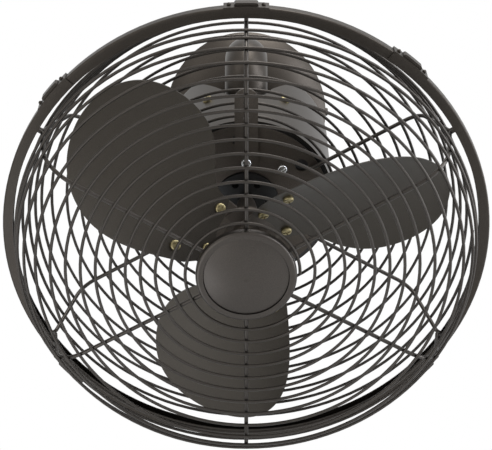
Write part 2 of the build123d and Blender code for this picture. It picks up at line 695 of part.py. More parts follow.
def blade_hub():
    # A slim neck that widens towards the blades, a flange, and a spigot for the spider.
    neck_top = BLADE_Z - 14.0
    flange_top = BLADE_Z - 7.0
    neck_len = neck_top - HUB_BACK
    flare = Pos(0, 0, HUB_BACK + neck_len / 2) * Cone(HUB_NECK_R, HUB_SHOULDER_R, neck_len)
    hub = flare + rod(HUB_SHOULDER_R, neck_top, flange_top) + rod(HUB_R, flange_top, BLADE_Z + 6.0)
    hub = hub + rod(HUB_DISC_R - 3, flange_top - 3, flange_top)
    hub = hub - rod(SHAFT_R + RUN_CLEAR, HUB_BACK - 1, BLADE_Z + 10)
    screw_hole = Pos(0, 0, HUB_BACK + 5) * Rot(-90, 0, 0) * rod(2.05, 0, HUB_R)
    return hub - screw_hole


def hub_set_screw():
    return Pos(0, 0, HUB_BACK + 5) * Rot(-90, 0, 0) * rod(2.0, SHAFT_R - 0.7, HUB_NECK_R)


def shaft_nut():
    low = BLADE_Z + 6.0
    body = Pos(0, 0, low) * extrude(RegularPolygon(8.0, 6), amount=6.5)
    cap = Pos(0, 0, low + 6.5) * (Sphere(6.6) & Pos(0, 0, 5) * Box(20, 20, 10))
    hole = rod(SHAFT_R + RUN_CLEAR, low - 1, low + 9.0)
    return body + cap - hole


def blade_screws():
    screw = pan_screw(2.1, BLADE_T + IRON_T + 1.5, 4.3, 2.6)
    pieces = []
    for k in range(BLADE_COUNT):
        turn = BLADE_START + 360.0 / BLADE_COUNT * k
        for x, y in BLADE_SCREWS:
            seated = screw_place(x, y) * Pos(0, 0, RUN_CLEAR) * screw
            placed = Rot(0, 0, turn) * (Pos(0, 0, BLADE_Z) * seated)
            pieces += placed.solids()
    return Compound(children=pieces)


# Wall side, in the row frame

def neck(shape):
    return Pos(0, NECK_Y, PIVOT_Z) * shape


def arm_path():
    # Drawn as (distance from the wall, height), then laid in the YZ plane: out of the wall, up a
    # slope, level over the back of the head, and down into the neck.
    up = math.radians(ARM_SWEEP_UP)
    low_rise = ARM_BEND_LOW * (1 - math.cos(up))
    top_rise = ARM_BEND_TOP * (1 - math.cos(up))
    slope_len = (ARM_RISE - low_rise - top_rise) / math.sin(up)
    quarter = math.radians(45)
    a = (PLATE_T, 0.0)
    b = (ARM_STUB, 0.0)
    b_mid = (b[0] + ARM_BEND_LOW * math.sin(up / 2), ARM_BEND_LOW * (1 - math.cos(up / 2)))
    c = (b[0] + ARM_BEND_LOW * math.sin(up), low_rise)
    d = (c[0] + slope_len * math.cos(up), c[1] + slope_len * math.sin(up))
    e = (d[0] + ARM_BEND_TOP * math.sin(up), ARM_RISE)
    d_mid = (e[0] - ARM_BEND_TOP * math.sin(up / 2), ARM_RISE - ARM_BEND_TOP * (1 - math.cos(up / 2)))
    f = (-NECK_Y - ARM_BEND_NECK, ARM_RISE)
    f_mid = (f[0] + ARM_BEND_NECK * math.sin(quarter), ARM_RISE - ARM_BEND_NECK * (1 - math.cos(quarter)))
    g = (-NECK_Y, ARM_RISE - ARM_BEND_NECK)
    h = (-NECK_Y, PIVOT_Z + NECK_END)
    runs = [Line(a, b), ThreePointArc(b, b_mid, c), Line(c, d), ThreePointArc(d, d_mid, e)]
    return Wire(runs + [Line(e, f), ThreePointArc(f, f_mid, g), Line(g, h)])


def wall_arm():
    path = Plane(origin=(0, 0, 0), x_dir=(0, -1, 0), z_dir=(-1, 0, 0)) * arm_path()
    start = Plane(origin=(0, -PLATE_T, 0), z_dir=(0, -1, 0))
    outer = sweep(start * Circle(TUBE_R), path=path)
    inner = sweep(start * Circle(TUBE_R - TUBE_WALL), path=path)
    flange = Rot(90, 0, 0) * tube(ARM_FLANGE_R, TUBE_R - TUBE_WALL, PLATE_T, PLATE_T + ARM_FLANGE_T)
    groove = tube(TUBE_R + 1, TUBE_R - NECK_GROOVE_DEEP, NECK_GROOVE_T - NECK_GROOVE_W / 2,
                  NECK_GROOVE_T + NECK_GROOVE_W / 2)
    body = outer + flange - inner - neck(groove)
    for x, z in [polar(ARM_SCREW_PCR, a) for a in (90, 210, 330)]:
        hole = Rot(90, 0, 0) * (Pos(x, z, 0) * rod(2.6, 0, PLATE_T + ARM_FLANGE_T + 1))
        body = body - hole
    return body


def arm_screws():
    screw = pan_screw(2.5, ARM_FLANGE_T + PLATE_T - 0.3, 4.4, 2.8)
    pieces = []
    for x, z in [polar(ARM_SCREW_PCR, a) for a in (90, 210, 330)]:
        placed = Rot(90, 0, 0) * (Pos(x, z, PLATE_T + ARM_FLANGE_T) * screw)
        pieces += placed.solids()
    return Compound(children=pieces)


def mount_plate():
    plate = rod(PLATE_R, 0, PLATE_T)
    half = BOX_SCREW_SPACING / 2
    for x in (-half, half):
        plate = plate - Pos(x, 0, 0) * rod(BOX_HOLE_R, -1, PLATE_T + 1)
    for x, y in [polar(ARM_SCREW_PCR, a) for a in (90, 210, 330)]:
        plate = plate - Pos(x, y, 0) * rod(2.6, -1, PLATE_T + 1)
    plate = plate - rod(TUBE_R - TUBE_WALL, -1, PLATE_T + 1)
    tab_r = CANOPY_R - CANOPY_WALL - SEAT_CLEAR
    for side in (-1, 1):
        reach = Pos(side * (PLATE_R - 4 + tab_r - 0.6) / 2, 0, PLATE_T / 2)
        reach = reach * Box(tab_r - 0.6 - PLATE_R + 4, 14, PLATE_T)
        upright = Pos(side * (tab_r - 1.85), 0, 5.5) * Box(2.5, 14, 11)
        hole = Pos(side * tab_r, 0, 8.0) * Rot(0, side * 90, 0) * rod(2.0, -8, 4)
        plate = plate + reach + upright - hole
    return Rot(90, 0, 0) * plate


def canopy_profile(radius, rim, depth, hole_r):
    side = Line((radius, 0), (radius, rim))
    crown = ThreePointArc((radius, rim), (radius * 0.80, rim + (depth - rim) * 0.62), (hole_r, depth))
    return side, crown


def wall_canopy():
    hole_r = TUBE_R + MOVE_GAP
    outer = canopy_profile(CANOPY_R, CANOPY_RIM, CANOPY_DEPTH, hole_r)
    inner = canopy_profile(CANOPY_R - CANOPY_WALL, CANOPY_RIM - CANOPY_WALL * 0.5,
                           CANOPY_DEPTH - CANOPY_WALL, hole_r)
    rim = Line((CANOPY_R - CANOPY_WALL, 0), (CANOPY_R, 0))
    lip = Line((hole_r, CANOPY_DEPTH), (hole_r, CANOPY_DEPTH - CANOPY_WALL))
    shell = revolve_profile(rim, *outer, lip, *inner)
    shell = Rot(90, 0, 0) * shell
    for side in (-1, 1):
        hole = Pos(side * (CANOPY_R - 4), -8.0, 0) * Rot(0, side * 90, 0) * rod(2.1, 0, 8)
        shell = shell - hole
    return shell


def canopy_screws():
    screw = pan_screw(1.9, 6.0, 3.8, 2.2)
    pieces = []
    for side in (-1, 1):
        placed = Pos(side * (CANOPY_R + 0.1), -8.0, 0) * Rot(0, side * 90, 0) * screw
        pieces += placed.solids()
    return Compound(children=pieces)


def swivel_spindle():
    plug_r = TUBE_R - TUBE_WALL - RUN_CLEAR
    body = rod(SPINDLE_R, SPINDLE_END, NECK_END)
    body = body + rod(TUBE_R - 0.5, NECK_END - SPINDLE_FLANGE_T, NECK_END)
    body = body + rod(plug_r, NECK_END, NECK_END + PLUG_LEN)
    return neck(body - rod(SPINDLE_BORE_R, SPINDLE_END - 1, NECK_END + PLUG_LEN + 1))


def fixed_gear():
    body = gear(FIXED_TEETH, GEAR_MODULE, SPINDLE_R, GEAR_T, 90 + 180.0 / FIXED_TEETH)
    return neck(Pos(0, 0, GEAR_LOW) * body)


def retaining_clip():
    ring = tube(SPINDLE_R + 2.5, SPINDLE_R, SPINDLE_END + 1.0, SPINDLE_END + 2.2)
    return neck(ring - Pos(0, -SPINDLE_R - 2, SPINDLE_END + 2) * Box(6, 8, 6))


def thrust_washer():
    low = HUB_HIGH + RUN_CLEAR
    return neck(tube(HUB_OUTER_R - 1, SPINDLE_R + RUN_CLEAR, low, NECK_END - SPINDLE_FLANGE_T - RUN_CLEAR))


def swivel_bush():
    return neck(tube(SPINDLE_R + RUN_CLEAR + BUSH_WALL, SPINDLE_R + RUN_CLEAR, HUB_LOW, HUB_HIGH))


def swing_yoke():
    hub = tube(HUB_OUTER_R, SPINDLE_R + RUN_CLEAR + BUSH_WALL, HUB_LOW, HUB_HIGH)
    deck_low = HUB_LOW + 2.0
    deck_half_x = CHEEK_X + CHEEK_T
    deck = Pos(0, 0, deck_low + 1.5) * Box(2 * deck_half_x, 2 * CHEEK_HALF, 3.0)
    tail = Pos(0, 22, deck_low + 1.5) * Box(40.0, 20.0, 3.0)
    body = deck + tail
    body = body - rod(HUB_OUTER_R - 1, deck_low - 1, deck_low + 5) + hub
    cheek_h = deck_low + 3.0 + CHEEK_FOOT
    for side in (-1, 1):
        x = side * (CHEEK_X + CHEEK_T / 2)
        cheek = Pos(x, 0, cheek_h / 2 - CHEEK_FOOT) * Box(CHEEK_T, 2 * CHEEK_HALF, cheek_h)
        low_edges = cheek.edges().filter_by(Axis.X).sort_by(Axis.Z)[:2]
        cheek = fillet(low_edges, CHEEK_HALF * 0.85)
        body = body + cheek
    pin = Pos(-deck_half_x - 1, 0, 0) * Rot(0, 90, 0) * rod(TILT_PIN_R + RUN_CLEAR, 0, 2 * deck_half_x + 2)
    body = body - pin
    for side in (-1, 1):
        post = Pos(side * (CAN_R + 3.0), CAN_BACK, 0) * rod(2.6, CAN_LOW + CAN_LEN + 1.5, deck_low + 1)
        body = body + post
        body = body - Pos(side * (CAN_R + 3.0), CAN_BACK, 0) * rod(1.5, CAN_LOW + CAN_LEN, deck_low + 5)
    shaft_room = Pos(0, GEAR_CENTRES, 0) * rod(6.6, deck_low - 1, deck_low + 5)
    body = body - (shaft_room - rod(HUB_OUTER_R, deck_low - 2, deck_low + 6))
    return neck(body)


def swing_motor():
    top = CAN_LOW + CAN_LEN
    can = Pos(0, CAN_BACK, 0) * rod(CAN_R, CAN_LOW, top)
    can = fillet(can.edges().filter_by(GeomType.CIRCLE), 1.0)
    ears = Pos(0, CAN_BACK, top - 1.0 + 1.25) * extrude(SlotOverall(2 * CAN_R + 13.0, 7.0), amount=1.2)
    ears = ears & Pos(0, CAN_BACK, top) * Box(60, 60, 10)
    body = can + Pos(0, 0, -1.25) * ears
    post = Pos(0, GEAR_CENTRES, 0) * rod(2.0, top - 1, GEAR_LOW + GEAR_T)
    body = body + post
    for side in (-1, 1):
        body = body - Pos(side * (CAN_R + 3.0), CAN_BACK, 0) * rod(1.6, CAN_LOW, top + 4)
    return neck(body)


def swing_motor_screws():
    top = CAN_LOW + CAN_LEN
    screw = Rot(180, 0, 0) * pan_screw(1.45, 6.0, 2.6, 1.6)
    pieces = []
    for side in (-1, 1):
        placed = neck(Pos(side * (CAN_R + 3.0), CAN_BACK, top - 1.0) * screw)
        pieces += placed.solids()
    return Compound(children=pieces)


def swing_pinion():
    body = gear(PINION_TEETH, GEAR_MODULE, 2.0 + RUN_CLEAR, GEAR_T, -90)
    return neck(Pos(0, GEAR_CENTRES, GEAR_LOW) * body)


def tilt_bolts():
    bolt = pan_screw(TILT_PIN_R, EAR_X + EAR_T - CHEEK_X + 1.5, 7.0, 3.2)
    pieces = []
    for side in (-1, 1):
        placed = Pos(side * (EAR_X + EAR_T), 0, -PIVOT_BACK) * Rot(0, side * 90, 0) * bolt
        pieces += placed.solids()
    return Compound(children=pieces)


def tilt_washers():
    pieces = []
    low = CHEEK_X + CHEEK_T + RUN_CLEAR
    for side in (-1, 1):
        ring = tube(8.5, TILT_PIN_R + RUN_CLEAR, low, EAR_X)
        placed = Pos(0, 0, -PIVOT_BACK) * Rot(0, side * 90, 0) * ring
        pieces += placed.solids()
    return Compound(children=pieces)


HEAD_PARTS = {
    "front_guard": front_guard,
    "front_centre_plate": centre_plate,
    "badge_bezel": badge_bezel,
    "badge_disc": badge_disc,
    "badge_screws": badge_screws,
    "trim_band": trim_band,
    "band_clips": band_clips,
    "rear_guard": rear_guard,
    "rear_guard_plate": guard_plate,
    "guard_plate_screws": guard_plate_screws,
    "guard_strap": guard_strap,
    "strap_screw": strap_screw,
    "motor_shell": motor_shell,
    "shell_screws": shell_screws,
    "shell_carrier": shell_carrier,
    "motor_front_bracket": front_bracket,
    "motor_rear_bracket": rear_bracket,
    "stator_core": stator_core,
    "stator_windings": stator_windings,
    "tie_bolts": tie_bolts,
    "front_bearing": front_bearing,
    "rear_bearing": rear_bearing,
    "tilt_bolts": tilt_bolts,
    "tilt_washers": tilt_washers,
    "motor_shaft": motor_shaft,
    "rotor_core": rotor_core,
    "blade_hub": blade_hub,
    "blade_spider": blade_spider,
    "blade_screws": blade_screws,
    "hub_set_screw": hub_set_screw,
    "shaft_nut": shaft_nut,
}

WALL_PARTS = {
    "wall_canopy": wall_canopy,
    "mount_plate": mount_plate,
    "canopy_screws": canopy_screws,
    "wall_arm": wall_arm,
    "arm_screws": arm_screws,
    "swivel_spindle": swivel_spindle,
    "fixed_gear": fixed_gear,
    "retaining_clip": retaining_clip,
    "thrust_washer": thrust_washer,
    "swivel_bush": swivel_bush,
    "swing_yoke": swing_yoke,
    "swing_motor": swing_motor,
    "swing_motor_screws": swing_motor_screws,
    "swing_pinion": swing_pinion,
}

os.makedirs("parts", exist_ok=True)
for name, make in WALL_PARTS.items():
    export_step(make(), "parts/" + name + ".step")
for name, make in HEAD_PARTS.items():
    export_step(HEAD_PLANE.location * make(), "parts/" + name + ".step")
for index in range(BLADE_COUNT):
    export_step(HEAD_PLANE.location * blade_at(index), "parts/blade_" + str(index + 1) + ".step")
print("neck y", round(NECK_Y, 2), "pivot z", round(PIVOT_Z, 2), "gear centres", GEAR_CENTRES)
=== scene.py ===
# %% [markdown]
# # An oscillating wall fan
# The fan hangs from a goose-neck arm on a wall. Its construction is already packed as a fixed
# frame of solids, so this notebook only dresses it: it winds the wire cage, gives every piece
# the finish of the real one, with a paler coat as painted light on four pieces deep in the cage, and sets up the
# light and the camera of a catalogue picture.
# Lengths are in metres, and the wall is the plane Y = 0 with +Z up.

# %% Load the frame
import json
import math

import bpy
from mathutils import Matrix, Vector


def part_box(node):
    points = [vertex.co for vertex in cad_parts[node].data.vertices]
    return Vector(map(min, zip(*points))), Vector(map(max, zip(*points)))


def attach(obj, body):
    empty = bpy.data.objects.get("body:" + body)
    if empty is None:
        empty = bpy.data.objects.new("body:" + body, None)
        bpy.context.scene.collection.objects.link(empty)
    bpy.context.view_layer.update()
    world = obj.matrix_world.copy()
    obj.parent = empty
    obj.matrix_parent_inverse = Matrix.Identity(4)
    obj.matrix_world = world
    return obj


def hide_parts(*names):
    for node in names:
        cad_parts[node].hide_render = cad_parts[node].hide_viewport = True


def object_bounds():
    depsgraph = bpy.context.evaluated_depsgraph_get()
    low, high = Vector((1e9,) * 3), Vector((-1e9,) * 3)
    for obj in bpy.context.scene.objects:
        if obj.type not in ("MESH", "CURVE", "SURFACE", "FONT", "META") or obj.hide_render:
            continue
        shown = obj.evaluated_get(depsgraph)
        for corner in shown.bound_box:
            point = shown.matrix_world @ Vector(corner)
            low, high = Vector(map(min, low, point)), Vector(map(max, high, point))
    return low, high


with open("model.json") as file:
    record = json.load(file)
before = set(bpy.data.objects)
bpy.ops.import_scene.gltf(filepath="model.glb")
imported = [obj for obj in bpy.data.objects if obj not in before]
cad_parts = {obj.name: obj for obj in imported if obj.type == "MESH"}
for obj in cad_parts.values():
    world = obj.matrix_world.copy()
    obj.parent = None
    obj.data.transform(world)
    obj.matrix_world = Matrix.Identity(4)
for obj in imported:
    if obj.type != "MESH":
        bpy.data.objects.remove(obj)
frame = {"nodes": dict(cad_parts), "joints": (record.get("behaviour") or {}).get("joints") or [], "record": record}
nodes = frame["nodes"]
cad_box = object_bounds()
MM = 0.001

# %% [markdown]
# ## The head's own axes
# Cage, blades and motor share one axis, which leans down from the wall arm. Everything on the
# head is easier to think of in the head's own directions: Z out of the front along the fan
# axis, X to the right, Y up the face. The spin joint of the frame already holds that axis and
# a point on it, so the matrix is read from there and not typed in again.

# %% Find the head's axes
spin = next(j for j in frame["joints"] if j["name"] == "fan_spin")
axis_out = Vector(spin["axis"]).normalized()
axis_right = Vector((1, 0, 0))
axis_up = axis_out.cross(axis_right).normalized()
head = Matrix.Identity(4)
for column, direction in enumerate((axis_right, axis_up, axis_out)):
    for row in range(3):
        head[row][column] = direction[row]
    head[column][3] = spin["pos_m"][column]
tilt = math.degrees(math.asin(-axis_out.z))
print("the fan leans down by", round(tilt, 1), "degrees")


# %% [markdown]
# ## Two small tools
# Colours are written as web hex values, and the renderer works with linear light, so one
# function turns the first into the second. Both materials and shape trees are made of nodes,
# so another adds a node, sets it up and wires its inputs in one call.

# %% Colour and node helpers
def colour(hex_text):
    values = []
    for start in (1, 3, 5):
        c = int(hex_text[start:start + 2], 16) / 255
        values.append(c / 12.92 if c <= 0.04045 else ((c + 0.055) / 1.055) ** 2.4)
    return (*values, 1.0)


def add(tree, kind, inputs=None, **settings):
    """Adds one node. An input may be a plain value, or the output socket of another node."""
    new = tree.nodes.new(kind)
    for key, value in settings.items():
        setattr(new, key, value)
    for key, value in (inputs or {}).items():
        if isinstance(value, bpy.types.NodeSocket):
            tree.links.new(value, new.inputs[key])
        else:
            new.inputs[key].default_value = value
    return new


print("middle grey in linear light:", round(colour("#808080")[0], 3))


# %% [markdown]
# ## What all the finishes share
# Each finish of the fan is one shader with noise laid over it. Object coordinates keep a
# pattern fixed to its piece, and a noise's scale is one over the real width of its features, so
# every pattern is given in millimetres. No real surface is evenly smooth either. In each finish
# a noise drifts the roughness between two limits, and the same noise or a finer one raises a
# very shallow relief.

# %% Finish helpers
def blank_finish(name):
    """A new material, with its tree, its shader and the object coordinates."""
    material = bpy.data.materials.new(name)
    material.use_nodes = True
    tree = material.node_tree
    place = add(tree, "ShaderNodeTexCoord").outputs["Object"]
    return material, tree, tree.nodes["Principled BSDF"], place


def noise(tree, place, width_mm, detail):
    """A noise with features about width_mm wide."""
    inputs = {"Vector": place, "Scale": 1 / (width_mm * MM), "Detail": detail}
    return add(tree, "ShaderNodeTexNoise", inputs).outputs["Fac"]


def drift_roughness(tree, shader, pattern, middle, spread):
    """Moves the roughness round its middle, by at most the spread's two steps down and up."""
    down, up = spread
    limits = {"Value": pattern, "To Min": middle - down, "To Max": middle + up}
    rough = add(tree, "ShaderNodeMapRange", limits)
    tree.links.new(rough.outputs["Result"], shader.inputs["Roughness"])


def raise_relief(tree, shader, pattern, strength, depth_mm):
    inputs = {"Height": pattern, "Strength": strength, "Distance": depth_mm * MM}
    bump = add(tree, "ShaderNodeBump", inputs)
    tree.links.new(bump.outputs["Normal"], shader.inputs["Normal"])


print("noise scale for grains one millimetre wide:", round(1 / MM))


# %% [markdown]
# ## Powder coat
# The whole fan is steel sprayed with dry powder and baked. The powder melts into a skin with a
# faint orange peel, and this bronze shade carries fine darker and lighter grains, so it looks
# soft and slightly alive where plain paint would look dead. Three noises do that: grains a
# third of a millimetre wide in the colour, a peel about one millimetre wide in the relief, and
# a slow drift over a few centimetres in the roughness. The bronze look comes from a high
# metallic value: it gives the sheen the coat's own brown, where plain paint would give a white
# one.

# %% Powder coat material
GRAIN_MM, PEEL_MM, DRIFT_MM = 0.35, 1.1, 40
DARK_GRAIN_AT, BASE_AT, LIGHT_GRAIN_AT = 0.32, 0.50, 0.72
COAT_METALLIC = 0.8
COAT_SPREAD = (0.04, 0.05)
PEEL_STRENGTH, PEEL_DEPTH_MM = 0.25, 0.05


def powder_coat(name, base, dark, light, roughness):
    material, tree, shader, place = blank_finish(name)
    shade = add(tree, "ShaderNodeValToRGB", {"Fac": noise(tree, place, GRAIN_MM, 2.0)})
    stops = shade.color_ramp.elements
    stops[0].position = DARK_GRAIN_AT
    stops[0].color = colour(dark)
    stops[1].position = LIGHT_GRAIN_AT
    stops[1].color = colour(light)
    stops.new(BASE_AT).color = colour(base)
    tree.links.new(shade.outputs["Color"], shader.inputs["Base Color"])
    drift_roughness(tree, shader, noise(tree, place, DRIFT_MM, 1.0), roughness, COAT_SPREAD)
    raise_relief(tree, shader, noise(tree, place, PEEL_MM, 1.0), PEEL_STRENGTH, PEEL_DEPTH_MM)
    shader.inputs["Metallic"].default_value = COAT_METALLIC
    return material


body_coat = powder_coat(
    "bronze powder coat", "#35302B", "#2A2520", "#413C35", 0.40)
wire_coat = powder_coat(
    "bronze powder coat on wire", "#3A3632", "#2E2A26", "#46413C", 0.36)
blade_coat = powder_coat(
    "bronze powder coat on pressed blade", "#3E3933", "#34302A", "#47433C", 0.42)
badge_coat = powder_coat(
    "satin bronze coat on cast badge", "#413C38", "#383430", "#4A4640", 0.34)
# This paler coat is painted light: it lightens pieces that lie in shade deep inside the cage.
painted_light_coat = powder_coat(
    "bronze powder coat lightened as painted light", "#524B44", "#443E38", "#5F5850", 0.44)
for coat in (body_coat, wire_coat, blade_coat, badge_coat, painted_light_coat):
    print("powder coat:", coat.name)


# %% [markdown]
# ## Bare and plated metal
# Most screws are plated: the ones that hold blades and shell are yellow zinc, which looks like
# brass, and those on the guard plate are bright zinc. Shaft and bearings are ground steel. A
# metal shows no colour from below its surface: the base colour is what it reflects. Tiny marks
# of tool or bath stay on all of them, so one fine noise moves the tone, the roughness and the
# relief together. From metal to metal only its width, the two tones and the roughness differ.

# %% Metal material
MARK_SPREAD = (0.08, 0.10)
MARK_STRENGTH, MARK_DEPTH_MM = 0.12, 0.02


def plated(name, tint, shadow, roughness, mark_mm=0.25):
    material, tree, shader, place = blank_finish(name)
    marks = noise(tree, place, mark_mm, 3.0)
    tones = {"Factor": marks, "A": colour(shadow), "B": colour(tint)}
    tone = add(tree, "ShaderNodeMix", tones, data_type="RGBA")
    tree.links.new(tone.outputs["Result"], shader.inputs["Base Color"])
    drift_roughness(tree, shader, marks, roughness, MARK_SPREAD)
    raise_relief(tree, shader, marks, MARK_STRENGTH, MARK_DEPTH_MM)
    shader.inputs["Metallic"].default_value = 1.0
    return material


brass_plate = plated("yellow zinc plating", "#AEA27C", "#6F6548", 0.34)
zinc_plate = plated("bright zinc plating", "#DCDCDA", "#A9AAA9", 0.24)
zinc_sheet = plated("zinc plated sheet", "#BFC1C0", "#8F9190", 0.38, 2.5)
ground_steel = plated("ground steel", "#C9CACC", "#96989B", 0.28)
drawn_can = plated("drawn steel can", "#B6B7B8", "#8B8C8E", 0.40, 0.8)
rotor_cast = plated("turned cast rotor", "#B8B9BA", "#8E8F90", 0.45, 0.6)
sintered = plated("sintered bearing bronze", "#B58A4E", "#7E5E33", 0.55, 0.3)
copper = plated("enamelled copper", "#B5653A", "#7C3F22", 0.32, 0.9)
lamination = plated("varnished core steel", "#6E6F73", "#3C3D40", 0.50, 0.5)
print("metals:", zinc_plate.name, "|", brass_plate.name, "|", ground_steel.name)


# %% [markdown]
# ## Enamel and nylon
# The motor's cast brackets are dipped in black air-drying enamel, glossier than the powder coat
# and almost without colour. The small gears and washers are white nylon, which lets a little
# light in, so its shadows stay soft: a small share of scattering below the surface does that.

# %% Enamel and nylon materials
NYLON_SOFTNESS = 0.15
SKIN_SPREAD = (0.05, 0.08)
PIT_STRENGTH, PIT_DEPTH_MM = 0.2, 0.05


def moulded(name, base, roughness, soft_mm, pit_mm):
    """A smooth skin with fine pits. Light goes soft_mm deep into it, or not at all for zero."""
    material, tree, shader, place = blank_finish(name)
    skin = noise(tree, place, pit_mm, 2.0)
    drift_roughness(tree, shader, skin, roughness, SKIN_SPREAD)
    raise_relief(tree, shader, skin, PIT_STRENGTH, PIT_DEPTH_MM)
    shader.inputs["Base Color"].default_value = colour(base)
    if soft_mm:
        shader.inputs["Subsurface Weight"].default_value = NYLON_SOFTNESS
        shader.inputs["Subsurface Scale"].default_value = soft_mm * MM
    return material


enamel = moulded("black motor enamel", "#141312", 0.30, 0.0, 1.6)
nylon = moulded("natural nylon", "#DAD7CB", 0.45, 0.8, 0.7)
print("moulded finishes:", enamel.name, "|", nylon.name)

# %% [markdown]
# ## Dress the imported pieces
# The record names a finish slot for each piece, so a dictionary from slot to material dresses
# all of them in one pass, and a missing slot would stop the script at once. With these lamps
# the pieces deep inside the cage come out darker than in the photograph, so the guard plate,
# the strap, the spider and the hub get a paler shade of the coat to make up for it.

# %% Assign the finishes
# The paler coat on these pieces is painted light, which lifts the shade that the lamps leave on them.
PAINTED_LIGHT_PIECES = ("rear_guard_plate", "guard_strap", "blade_spider", "blade_hub")
finish_of = {
    "bronze_powder_coat": body_coat, "cage_wire": wire_coat, "blade_coat": blade_coat,
    "badge_bronze": badge_coat, "black_motor": enamel, "brass_screw": brass_plate,
    "zinc_screw": zinc_plate, "zinc_plate": zinc_sheet, "steel": ground_steel,
    "stator_steel": lamination, "copper": copper, "rotor_alloy": rotor_cast,
    "bronze_bush": sintered, "nylon": nylon, "motor_can": drawn_can,
}
slot_of = {s["node"]: s["material_slot"] for s in frame["record"]["subparts"]}
for name, piece in nodes.items():
    finish = finish_of[slot_of[name]]
    piece.data.materials.clear()
    piece.data.materials.append(painted_light_coat if name in PAINTED_LIGHT_PIECES else finish)
print("dressed", len(nodes), "pieces,", len(PAINTED_LIGHT_PIECES), "of them in the paler shade")

# %% [markdown]
# ## The cage's sizes
# Each half of the cage is one long wire, wound outwards over six spokes and welded to them,
# with a heavier ring at the rim. A spoke's shape is given by four points in the plane of the
# axis: its inner end, the face's edge, the foot in the trim band, and its outer end. The ring's
# radius follows from the band's own box, so the ring stays inside the band if that changes. The
# weld sinks the winding a little into the spokes.

# %% Cage sizes
WIRE_D = 2.5 * MM
SPOKE_D = 3.2 * MM
RIM_D = 3.0 * MM
WIRE_PITCH = 11.45 * MM
WELD_SINK = 0.4 * MM
SPOKE_COUNT = 6
SPOKE_TURN = math.radians(30)
BAND_SKIN = 1.1 * MM
HALF_RIM_GAP = 0.05 * MM
FOOT_GAP = 0.1 * MM
band_low, band_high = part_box("trim_band")
BAND_R = (band_high.x - band_low.x) / 2
RIM_R = BAND_R - BAND_SKIN - RIM_D / 2
RIM_Z = RIM_D / 2 + HALF_RIM_GAP
FOOT_R = 181.2 * MM
FOOT_Z = SPOKE_D / 2 + FOOT_GAP
SPOKE_END_R = RIM_R - 1.0 * MM
FRONT_END_R, FRONT_END_Z = 28 * MM, 60.6 * MM
FRONT_EDGE_R, FRONT_EDGE_Z = 172.8 * MM, 57.6 * MM
REAR_END_R, REAR_EDGE_R, REAR_Z = 61 * MM, 161 * MM, 57.8 * MM
FRONT_SHOULDER, REAR_SHOULDER = 31 * MM, 18 * MM
ELBOW = 2.4 * MM
FRONT_WIRE_R, REAR_WIRE_R = 40.9 * MM, 74.2 * MM
front_outline = [(FRONT_END_R, FRONT_END_Z), (FRONT_EDGE_R, FRONT_EDGE_Z), (FOOT_R, FOOT_Z),
                 (SPOKE_END_R, FOOT_Z)]
rear_outline = [(REAR_END_R, -REAR_Z), (REAR_EDGE_R, -REAR_Z), (FOOT_R, -FOOT_Z),
                (SPOKE_END_R, -FOOT_Z)]
print("the band is", round(2 * BAND_R / MM, 1), "mm across")


# %% [markdown]
# ## The cage's rounded spoke
# The cage is grown by a node tree. It starts from the bare outline of the spoke, four points
# joined by lines, and rounds its two corners. That one curve is then used twice: as the spoke
# itself, repeated round the axis, and as a ruler for the winding. Every round bar of the cage is
# a circle run along a curve, so one helper makes them all.

# %% Spoke branch of the tree
CORNER_POINTS = 14
BAR_SIDES, WIRE_SIDES = 14, 10


def maths(tree, operation, a, b=0.0):
    return add(tree, "ShaderNodeMath", {0: a, 1: b}, operation=operation).outputs[0]


def round_bar(tree, curve, diameter, sides, closed_ends=True):
    """Runs a circle of the given diameter along a curve."""
    radius = maths(tree, "MULTIPLY", diameter, 0.5)
    profile = add(tree, "GeometryNodeCurvePrimitiveCircle", {"Resolution": sides, "Radius": radius})
    inputs = {"Curve": curve, "Profile Curve": profile.outputs[0], "Fill Caps": closed_ends}
    return add(tree, "GeometryNodeCurveToMesh", inputs).outputs[0]


def rounded_ruler(tree, given, index):
    """The outline as a curve: point 1 is rounded as the shoulder, and the rest as the elbow."""
    ends = {"A": index, "B": 1}
    at_shoulder = add(tree, "FunctionNodeCompare", ends, data_type="INT", operation="EQUAL")
    choice = {"Switch": at_shoulder.outputs[0], "False": given["Elbow"], "True": given["Shoulder"]}
    corner = add(tree, "GeometryNodeSwitch", choice, input_type="FLOAT").outputs[0]
    line = add(tree, "GeometryNodeMeshToCurve", {"Mesh": given["Outline"]}).outputs[0]
    rounding = {"Curve": line, "Radius": corner, "Count": CORNER_POINTS}
    return add(tree, "GeometryNodeFilletCurve", rounding, mode="POLY").outputs[0]


def turned_spokes(tree, given, index, ruler):
    """The spoke, repeated round the axis."""
    spoke = round_bar(tree, ruler, given["Spoke diameter"], BAR_SIDES)
    points = add(tree, "GeometryNodeMeshLine", {"Count": given["Spokes"], "Offset": (0, 0, 0)})
    step = maths(tree, "DIVIDE", 2 * math.pi, given["Spokes"])
    turn = maths(tree, "ADD", maths(tree, "MULTIPLY", index, step), given["Spoke turn"])
    rotation = add(tree, "ShaderNodeCombineXYZ", {"Z": turn}).outputs[0]
    inputs = {"Points": points.outputs[0], "Instance": spoke, "Rotation": rotation}
    return add(tree, "GeometryNodeInstanceOnPoints", inputs).outputs[0]


print("a spoke has", BAR_SIDES, "sides and", CORNER_POINTS, "points in each corner")


# %% [markdown]
# ## The cage's one long wire
# Each point of a long straight line looks up the place a given distance along the ruler, steps
# off it by half a spoke and half a wire less the weld, and turns by one full turn per wire
# pitch. Moving the wires by hand, or an array of separate rings, would miss that it is one wire:
# from one spoke to the next the spiral moves out by a sixth of a pitch.

